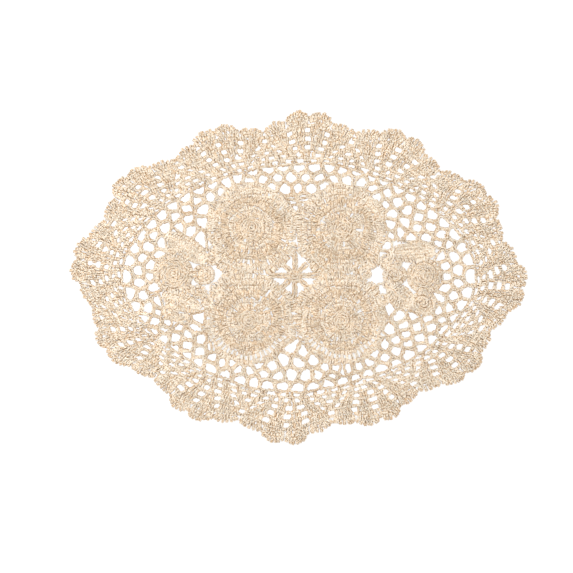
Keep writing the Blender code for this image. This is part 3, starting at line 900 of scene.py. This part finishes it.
def scallop(number):
    """The fans of one scallop of each repeat: rows of short stitches from the last line out to
    the scallop, none skipped in the last of them, and picots that stand out of it."""
    turn = np.linspace(SCALLOP_CUT, 1 - SCALLOP_CUT, SCALLOP_STEPS + 1)
    steps = np.arange(SCALLOP_STEPS + 1)
    places, depths = scallop_curve(number, turn)
    start, end = NOTCHES[number][0], NOTCHES[number + 1][0]
    cut = SCALLOP_FOOT * (end - start)
    base = np.linspace(start + cut, end - cut, SCALLOP_STEPS + 1)
    laid = []
    for repeat in range(REPEATS):
        outer = border_points(repeat + places, depths)
        inner = line_points(len(ROUND_LINES) - 1, repeat + base)
        out = outer - inner
        tall = np.linalg.norm(out, axis=1)
        edge = inner + out * (1 - PICOT_TALL * MM / tall)[:, None]
        rows = math.ceil((tall.max() / MM - PICOT_TALL) / SHORT_TALL)
        for row in range(rows):
            low, high = row / rows, (row + 1) / rows
            middle = inner + (edge - inner) * (low + high) / 2
            length = gone_along(middle)[-1]
            stitches = max(3, round(length / SHORT_PITCH / MM))
            at = middles_of(stitches) * SCALLOP_STEPS
            foot = points_at(inner + (edge - inner) * low, steps, at)
            head = points_at(inner + (edge - inner) * high, steps, at)
            kept = draw.random(stitches) > (FAN_SKIPPED if row < rows - 1 else 0)
            kept &= np.linalg.norm(head - foot, axis=1) > SHORT_LEAST
            laid += backed(SHORTS, foot[kept], head[kept], length / stitches / 2)
        at = middles_of(round(gone_along(edge)[-1] / PICOT_PITCH / MM)) * SCALLOP_STEPS
        foot = points_at(edge, steps, at)
        head = points_at(outer + out / tall[:, None] * PICOT_PAST, steps, at)
        head = head + draw.normal(0, UNEVEN_PICOT, head.shape)
        laid += backed(PICOTS, foot, head, PICOT_HALF, tone=PICOT_TONE)
    return laid


# ---------------------------------------------------------------- the net


def mesh_loop(corners):
    """A round-cornered loop inside one mesh of the net. In the direction t its reach is the sum of
    (cos(t - a) / d) ^ p over the sides that face it, to the power -1 / p. The direction a is square
    to the side, d is how far the side is less half a cord, and p sets how round the corners are."""
    middle = corners.mean(axis=0)
    side = np.roll(corners, -1, axis=0) - corners
    length = np.linalg.norm(side, axis=1)
    kept = length > MESH_SIDE
    square = np.column_stack([side[:, 1], -side[:, 0]])[kept] / length[kept, None]
    away = ((corners[kept] - middle) * square).sum(axis=1)
    square *= np.sign(away)[:, None]
    room = np.maximum(np.abs(away) - draw.uniform(*CORD_HALF), MESH_ROOM)
    ray = polar(1, all_round(LOOP_POINTS))
    facing = np.maximum(ray @ square.T, 0) / room
    reach = (facing**LOOP_ROUNDNESS).sum(axis=1) ** (-1 / LOOP_ROUNDNESS)
    return middle + ray * reach[:, None]


def wandered(points):
    """Points moved each way by two sines of their place, at different slants, so that the meshes
    are as uneven as the hand's tension, and neighbours still share their corners."""
    x, y = points.T / MM
    waves = [np.sin(by_x * x + by_y * y + start) for by_x, by_y, start in WANDER_WAVES]
    return points + WANDER * np.column_stack([waves[0] + waves[1], waves[2] + waves[3]])


def in_space(point):
    """Whether the point is in a space that the net doesn't reach."""
    x, y = point / MM
    return any(left < x < right and front < y < back for left, right, front, back in SPACES)


def net_cords(motifs):
    """Two pieces of net: a loop of chain in each mesh, so that two run side by side in each cord,
    a knot at every other corner, and the ties. The second piece is the half at the front."""
    halves = ([], [])
    for mesh in net_meshes(motifs):
        middle = mesh.mean(axis=0)
        if in_space(middle):
            continue
        mesh = wandered(mesh)
        height = draw.uniform(0.0, LOOP_LIFT) * MM
        tone = draw.normal(0, UNEVEN_TONE / 2)
        loop = chain(mesh_loop(mesh), height, LOOP_PITCH, LOOP_HALF, closed=True, tone=tone)
        halves[int(middle[1] < 0)].extend(loop)
        apart = np.linalg.norm(mesh - np.roll(mesh, 1, axis=0), axis=1)
        corner = mesh[apart > KNOT_APART][::2]
        if len(corner):
            reach = KNOT_REACH * polar(1, draw.uniform(0, math.pi, len(corner)))
            foot, head = corner - reach, corner + reach
            knots = lay(KNOTS, foot, head, KNOT_HALF, low=KNOT_LOW, tone=KNOT_TONE)
            halves[int(middle[1] < 0)].append(knots)
    for x, y, length, turn in NET_TIES:
        half = turning(turn)[0] * length / 2
        tie = np.array([(x, y) - half, (x, y) + half]) * MM
        halves[int(y < 0)].extend(chain(tie, KNOT_LOW, LOOP_PITCH, LOOP_HALF))
    return halves


# ---------------------------------------------------------------- roses, sprays and star


def rose_points(row, radius_mm, angle):
    """Points of a rose in polar form. The rounds take on the outline's shape towards the edge, by
    the square of their share of the radius."""
    stretch = rose_reach(row, angle) / (row[3] * MM) - 1
    reach = radius_mm * MM * (1 + stretch * (radius_mm / row[3]) ** 2)
    return np.array(row[1:3]) * MM + polar(reach, angle)


def spiral(middle, inner, outer, low, high, squash=(1.0, 1.0), turn=0.0):
    """A round button: short links along a spiral from one radius to another, all in mm. Its
    height falls from high to low by the square of the share of the outer radius."""
    turns = (outer - inner) / SPIRAL_PITCH
    points = max(SPIRAL_STEPS // 2, int(SPIRAL_STEPS * turns))
    angle = np.linspace(0, 2 * math.pi * turns, points)
    reach = inner + SPIRAL_PITCH * angle / (2 * math.pi)
    path = np.array(middle) * MM + polar(reach, angle) * squash @ turning(turn) * MM
    heights = (high + (low - high) * (reach / outer) ** 2) * MM
    return chain(path, heights, SPIRAL_LINK, SPIRAL_HALF)


def rose_pairs(row):
    """Tall stitches in pairs along the front of a rose, with slits between the pairs."""
    first, last = map(math.radians, PAIRS_TURN)
    size = row[3] / ROSE_SIZE
    arc = (last - first) * sum(PAIRS_RADIUS) / 2 * size
    pairs = round(arc / PAIRS_PITCH)
    middle = first + (last - first) * middles_of(pairs)
    apart = (last - first) / pairs * PAIR_APART
    angle = np.sort(np.concatenate([middle - apart, middle + apart]))
    foot, head = (
        rose_points(row, radius * size + draw.normal(0, UNEVEN_RING, len(angle)), angle)
        for radius in PAIRS_RADIUS
    )
    return backed(POSTS, foot, head, PAIR_HALF * arc / pairs * MM, None, *PAIRS_HEIGHT)


def rose_ring(row, inner, outer, low, high, tone, lobes, dip, turn):
    """A ring of short stitches from one radius to another, which runs in and out as a sine. With
    lobes, it dips between them by 1 - |cos|. No two neighbours are skipped, and a front rose's
    outer rings leave room for the pairs."""
    size = row[3] / ROSE_SIZE
    inner, outer = inner * size, outer * size
    stitches = round(math.pi * (inner + outer) / SHORT_PITCH)
    angle = from_anywhere(stitches)
    kept = draw.random(len(angle)) > ROSE_SKIPPED
    angle = angle[kept | ~np.roll(kept, 1)]
    if row[2] < 0 and PAIRS_RADIUS[0] < (inner + outer) / 2 / size < PAIRS_RADIUS[1]:
        first, last = map(math.radians, PAIRS_TURN)
        angle = angle[(angle < first) | (angle > last)]
    turned = angle - math.radians(row[4] + turn)
    wave = 1 - np.abs(np.cos(lobes / 2 * turned))
    times, swing = RING_WAVE
    near, far = (
        radius + swing * np.sin(times * angle + radius) + draw.normal(0, UNEVEN_RING, len(angle))
        for radius in (inner, outer)
    )
    foot = rose_points(row, near - dip * DIP_SHARE * wave, angle)
    head = rose_points(row, far - dip * wave, angle)
    middle = np.array(row[1:3]) * MM
    halves = (np.linalg.norm(end - middle, axis=1) * math.pi / stitches for end in (foot, head))
    # The ring's tone shifts its colour; a darker ring is painted shade round the button and the
    # raised petals.
    return backed(SHORTS, foot, head, *halves, low * MM, high * MM, tone=tone)


def rose(row):
    """A spiral button, then rings of short stitches: among them the raised inner petals and the
    broad outer petals. Slits are left where two rings don't quite meet. The front roses have
    pairs of tall stitches too."""
    _, x, y, radius, _ = row
    hole, button, low, high = ROSE_BUTTON
    laid = spiral((x, y), hole, button * radius / ROSE_SIZE, low, high)
    for ring in ROSE_RINGS:
        laid += rose_ring(row, *ring)
    return laid + rose_pairs(row) if y < 0 else laid


def leaf_points(leaf, share, angle):
    """Points of an oval leaf: its half length and half width times a share, turned."""
    x, y, length, width, turn = leaf
    return ((x, y) + polar(share, angle) * (length / 2, width / 2) @ turning(turn)) * MM


def leaf_ring(leaf, inner, outer, low, high):
    """Rings of short stitches round an oval leaf, between two shares of its size."""
    radius = (leaf[2] + leaf[3]) / 4
    rows = max(1, round((outer - inner) * radius / SHORT_TALL))
    laid = []
    for row in range(rows):
        near = inner + (outer - inner) * row / rows
        far = inner + (outer - inner) * (row + 1) / rows
        stitches = round(math.pi * (near + far) * radius / SHORT_PITCH)
        angle = from_anywhere(stitches)
        foot, head = leaf_points(leaf, near, angle), leaf_points(leaf, far, angle)
        half = math.pi / stitches * radius * MM
        start = (low + (high - low) * row / rows) * MM
        end = (low + (high - low) * (row + 1) / rows) * MM
        laid += backed(SHORTS, foot, head, half * near, half * far, start, end)
    return laid


def round_leaf(leaf, base):
    """A domed disc: a spiral button with a rim of one or two rings of short stitches."""
    x, y, length, width, turn = leaf
    radius = (length + width) / 4
    flat = (length / 2 / radius, width / 2 / radius)
    if radius < SMALL_LEAF:
        button, rim, dome = LEAF_BUTTON, LEAF_BUTTON / radius, SMALL_DOME
    else:
        button, rim, dome = radius - LEAF_RIM, 1 - LEAF_RIM / radius, LARGE_DOME
    edge, middle, foot, head = (base + height for height in dome)
    laid = spiral((x, y), LEAF_HOLE, button, edge, middle, flat, turn)
    return laid + leaf_ring(leaf, rim, 1.0, foot, head)


def vein_points(leaf, place):
    """Points along the middle of a leaf, from -1 at one end to 1 at the other."""
    return leaf_points(leaf, np.abs(place), np.where(place < 0, math.pi, 0.0))


def long_leaf(leaf, base):
    """A leaf with a chain for its vein. Rows of short stitches lean from the vein to both edges,
    by lean x (1 - p ^ 2) at the place p."""
    length, width = leaf[2:4]
    vein = vein_points(leaf, np.linspace(-VEIN_START, VEIN_END, VEIN_POINTS))
    laid = chain(vein, (base + VEIN_HEIGHT) * MM)
    stitches = round(length / SHORT_PITCH)
    place = -1 + 2 * middles_of(stitches)
    lean = place + LEAF_LEAN * (1 - place**2)
    vein = vein_points(leaf, VEIN_START * place)
    rows = max(1, round(width / 2 / SHORT_TALL))
    top, fall = LEAF_SLOPE
    for side in (-1, 1):
        edge = leaf_points(leaf, 1.0, np.arccos(np.clip(lean, -1, 1)) * side)
        for row in range(rows):
            foot = vein + (edge - vein) * row / rows
            head = vein + (edge - vein) * (row + 1) / rows
            tall = np.linalg.norm(head - foot, axis=1) > SHORT_LEAST
            low = (base + top - fall * row / rows) * MM
            high = (base + top - fall * (row + 1) / rows) * MM
            half = SHORT_PITCH / 2 * MM
            laid += backed(SHORTS, foot[tall], head[tall], half, None, low, high)
    return laid


def spray(leaves, joins):
    """Leaves that lie over one another at three heights, and the joins beside them."""
    laid = []
    least, step = LEAF_BASE
    for number, leaf in enumerate(leaves):
        base = least + step * (number % 3)
        made_round = leaf[2] < LONG_LEAF * leaf[3]
        laid += round_leaf(leaf, base) if made_round else long_leaf(leaf, base)
    for leaf in joins:
        laid += round_leaf(leaf, 0.0)
    return laid


def star():
    """A small ring with spokes out to the window's diamond, |x / a| + |y / b| = 1. Each spoke is
    two chains side by side."""
    middle = np.array(STAR_MIDDLE)
    laid = spiral(middle / MM, *STAR_RING)
    for direction in STAR_SPOKES:
        along, across = turning(direction)
        length = 1 / (np.abs(along) / WINDOW).sum() + SPOKE_PAST
        for side in (-1, 1):
            foot = middle + along * SPOKE_START + across * side * SPOKE_SIDE[0]
            tip = middle + along * length + across * side * SPOKE_SIDE[1]
            laid += chain(np.array([foot, tip]), SPOKE_HEIGHT, half=SPOKE_HALF)
    return laid


# ---------------------------------------------------------------- materials


def linear(colour):
    """An sRGB hex colour as linear red, green and blue: c / 12.92 below 0.04045, and
    ((c + 0.055) / 1.055) ^ 2.4 above."""
    parts = [int(colour[i : i + 2], 16) / 255 for i in (1, 3, 5)]
    return tuple(c / 12.92 if c <= 0.04045 else ((c + 0.055) / 1.055) ** 2.4 for c in parts)


def set_inputs(node, values):
    """Sets a node's own inputs, by name or number."""
    for name, value in values.items():
        node.inputs[name].default_value = value


def add_node(tree, kind, links=None, values=None, **properties):
    """Adds a node with its properties. Each link is an input and the output that feeds it, and
    each value an input's own."""
    node = tree.nodes.new(kind)
    for name, value in properties.items():
        setattr(node, name, value)
    set_inputs(node, values or {})
    for name, socket in (links or {}).items():
        tree.links.new(socket, node.inputs[name])
    return node


def new_material(name):
    """A new material, its nodes and its shader."""
    material = bpy.data.materials.new(name)
    material.use_nodes = True
    return material, material.node_tree, material.node_tree.nodes["Principled BSDF"]


# The cotton's patterns. Its plies are about as broad as real ones.
MOTTLE_SIZE = 4 / 3 * MM  # across one of the fibres' mottles
MOTTLE_WEIGHT = 0.9  # beside the painted shade and tone
DEPTH_STOPS = (0.51, 0.75, 0.98)  # painted shade and mottle together at each colour, the deepest and most shaded first
PATCH_SIZE = 100 / 9 * MM  # across a patch that dust or handling has tinted
PATCH_TINT = {"From Min": 0.3, "From Max": 0.7, "To Min": 0.92, "To Max": 1.05}
PLY_WIDTH = 0.5712  # in threads
PLY_SLANT = math.radians(35)
PLY_RELIEF = 0.15 * MM
WAVE_BANDS = 10 / math.pi  # of a wave texture in one unit, at a scale of 1


def crochet_cotton(name, high, middle, low):
    """Mercerised ecru crochet cotton. Its plies give it a slanting grain and a soft sheen, and its
    fibres a faint mottle. Its colour is painted shade, darker deep between the strands and under
    each one, and painted highlight, lighter on their tops."""
    material, tree, shader = new_material(name)
    place = add_node(tree, "ShaderNodeTexCoord").outputs["Object"]
    ply = add_node(tree, "ShaderNodeUVMap", uv_map="Ply").outputs["UV"]
    painted_shade_and_tone = add_node(tree, "ShaderNodeAttribute", attribute_name="painted_shade_and_tone").outputs["Fac"]
    mottle, patches = (
        add_node(
            tree,
            "ShaderNodeTexNoise",
            {"Vector": place},
            {"Scale": 1 / size, "Detail": 2.0, "Roughness": roughness},
        ).outputs["Fac"]
        for size, roughness in ((MOTTLE_SIZE, 0.6), (PATCH_SIZE, 0.5))
    )
    # The painted shade and tone, with the mottle, pick the colour from the ramp: the low colour
    # deep between the strands, the high one on their lit tops.
    links = {0: mottle, 2: painted_shade_and_tone}
    depth = add_node(tree, "ShaderNodeMath", links, {1: MOTTLE_WEIGHT}, operation="MULTIPLY_ADD")
    ramp = add_node(tree, "ShaderNodeValToRGB", {"Fac": depth.outputs[0]})
    stops = ramp.color_ramp.elements
    stops.new(DEPTH_STOPS[1])
    for stop, position, colour in zip(stops, DEPTH_STOPS, (low, middle, high)):
        stop.position = position
        stop.color = (*linear(colour), 1)
    tint = add_node(tree, "ShaderNodeMapRange", {"Value": patches}, PATCH_TINT)
    links = {0: ramp.outputs["Color"], 1: tint.outputs[0]}
    tinted = add_node(tree, "ShaderNodeVectorMath", links, operation="MULTIPLY")
    slant = {"Rotation": (0, 0, PLY_SLANT)}
    slanted = add_node(tree, "ShaderNodeMapping", {"Vector": ply}, slant)
    plies = add_node(
        tree,
        "ShaderNodeTexWave",
        {"Vector": slanted.outputs[0]},
        {"Scale": 1 / (WAVE_BANDS * PLY_WIDTH), "Distortion": 0.6},
    )
    bump = add_node(
        tree,
        "ShaderNodeBump",
        {"Height": plies.outputs["Fac"]},
        {"Strength": 0.35, "Distance": PLY_RELIEF},
    )
    tree.links.new(tinted.outputs[0], shader.inputs["Base Color"])
    tree.links.new(bump.outputs[0], shader.inputs["Normal"])
    set_inputs(shader, {"Roughness": 0.72, "Specular IOR Level": 0.12})
    set_inputs(shader, {"Sheen Weight": 0.03, "Sheen Roughness": 0.5})
    return material


FLOOR_COLOUR = "#949494"
FLOOR_GLOW = 0.65


def plain_floor():
    """Matt white paper, which scatters light evenly. A glow keeps it white up to the doily."""
    material, _, shader = new_material("white_paper")
    set_inputs(shader, {"Base Color": (*linear(FLOOR_COLOUR), 1), "Roughness": 0.95})
    set_inputs(shader, {"Emission Color": (1, 1, 1, 1), "Emission Strength": FLOOR_GLOW})
    set_inputs(shader, {"Specular IOR Level": 0.1})
    return material


# ---------------------------------------------------------------- the scene


def moved(laid, shift):
    """The strands moved so that the layout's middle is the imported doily's."""
    return [(points + (*shift, 0.0), *rest) for points, *rest in laid]


def build_doily():
    """Every piece of the doily, laid over its solid."""
    motifs = [rose_outline(row) for row in ROSES] + [spray_outline(s) for s in SPRAYS.values()]
    turn = np.linspace(0, 1, SCALLOP_STEPS + 1)
    curves = [scallop_curve(number, turn) for number in range(len(SCALLOPS))]
    places, depths = np.concatenate(curves, axis=1)
    places = (np.arange(REPEATS)[:, None] + places).reshape(-1)
    edge = border_points(places, np.tile(depths, REPEATS))
    low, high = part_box("scalloped_border")
    shift = np.array([low[0] + high[0], low[1] + high[1]]) / 2
    shift -= (edge.min(axis=0) + edge.max(axis=0)) / 2

    # Each cotton's colours, high, middle and low: the high one is painted highlight on the strands'
    # tops, the low one painted shade deep between them.
    rose_cotton = crochet_cotton("rose_crochet_cotton", "#f7edde", "#efd9bb", "#d1b290")
    border_cotton = crochet_cotton("border_crochet_cotton", "#f4eada", "#ead2b3", "#caaa86")
    net_cotton = crochet_cotton("net_crochet_cotton", "#f4ebdb", "#e5ccac", "#bd9973")
    rounds = [border_round(number) for number in range(len(ROUND_SPACES))]
    inner, middle, outer = sum(rounds[:2], []), sum(rounds[2:4], []), rounds[4]
    edging = sum((scallop(number) for number in range(len(SCALLOPS))), [])
    back_net, front_net = net_cords(motifs)
    rows = [
        # name, strands, slot, the nodes that it takes the place of, material
        ("scalloped_edging", outer + edging, "border_cotton", ["scalloped_border"], border_cotton),
        ("border_rounds", middle, "border_cotton", [], border_cotton),
        ("border_mesh_rounds", inner, "border_cotton", [], border_cotton),
        ("net_cords_back", back_net, "net_cotton", ["ground_net"], net_cotton),
        ("net_cords_front", front_net, "net_cotton", [], net_cotton),
        ("star_cords", star(), "star_cotton", ["star_centre"], border_cotton),
    ]
    rows += [(row[0] + "_petals", rose(row), "rose_cotton", [row[0]], rose_cotton) for row in ROSES]
    rows += [
        (name + "_leaves", spray(leaves, SPRAY_JOINS[name]), "spray_cotton", [name], rose_cotton)
        for name, leaves in SPRAYS.items()
    ]
    return [
        strand_mesh(name, moved(laid, shift), nodes, material)
        for name, laid, slot, nodes, material in rows
    ]


# What the doily is seen in, in metres, but for the lens.
VIEW_MIDDLE = (-10.2 * MM, -7.5 * MM)
VIEW_WIDTH = 475.6 * MM
LENS = 85.0  # mm
SENSOR = 36.0  # mm
FLOOR_SIZE = 12.0
LAMP_PLACE = (-0.32, 0.29, 0.78)
LAMP_SIZE = 0.6
LAMP_WATTS = 4.6
SURROUND = 1.1  # strength of the white light from all round


def camera():
    """Straight above the doily, which lies a little right of and above the middle."""
    data = bpy.data.cameras.new("camera")
    data.lens = LENS
    data.sensor_width = SENSOR
    bpy.context.scene.camera = add_object("camera", data)
    bpy.context.scene.camera.location = (*VIEW_MIDDLE, VIEW_WIDTH * LENS / SENSOR)


def lamp():
    """A square soft light that faces the doily."""
    data = bpy.data.lights.new("soft_light", "AREA")
    data.shape = "SQUARE"
    data.size = LAMP_SIZE
    data.energy = LAMP_WATTS
    thing = add_object("soft_light", data)
    thing.location = LAMP_PLACE
    thing.rotation_euler = (-Vector(LAMP_PLACE)).to_track_quat("-Z", "Y").to_euler()


def studio():
    """A plain pale floor, a soft light from the back left and an even white surround."""
    mesh = bpy.data.meshes.new("floor")
    half = FLOOR_SIZE / 2
    corners = [(-half, -half, 0), (half, -half, 0), (half, half, 0), (-half, half, 0)]
    mesh.from_pydata(corners, [], [(0, 1, 2, 3)])
    mesh.materials.append(plain_floor())
    floor = add_object("floor", mesh)
    lamp()
    world = bpy.data.worlds.new("surround")
    world.use_nodes = True
    white = {"Color": (1, 1, 1, 1), "Strength": SURROUND}
    set_inputs(world.node_tree.nodes["Background"], white)
    bpy.context.scene.world = world
    bpy.context.scene.view_settings.view_transform = "Standard"


camera()
studio()
made = build_doily()
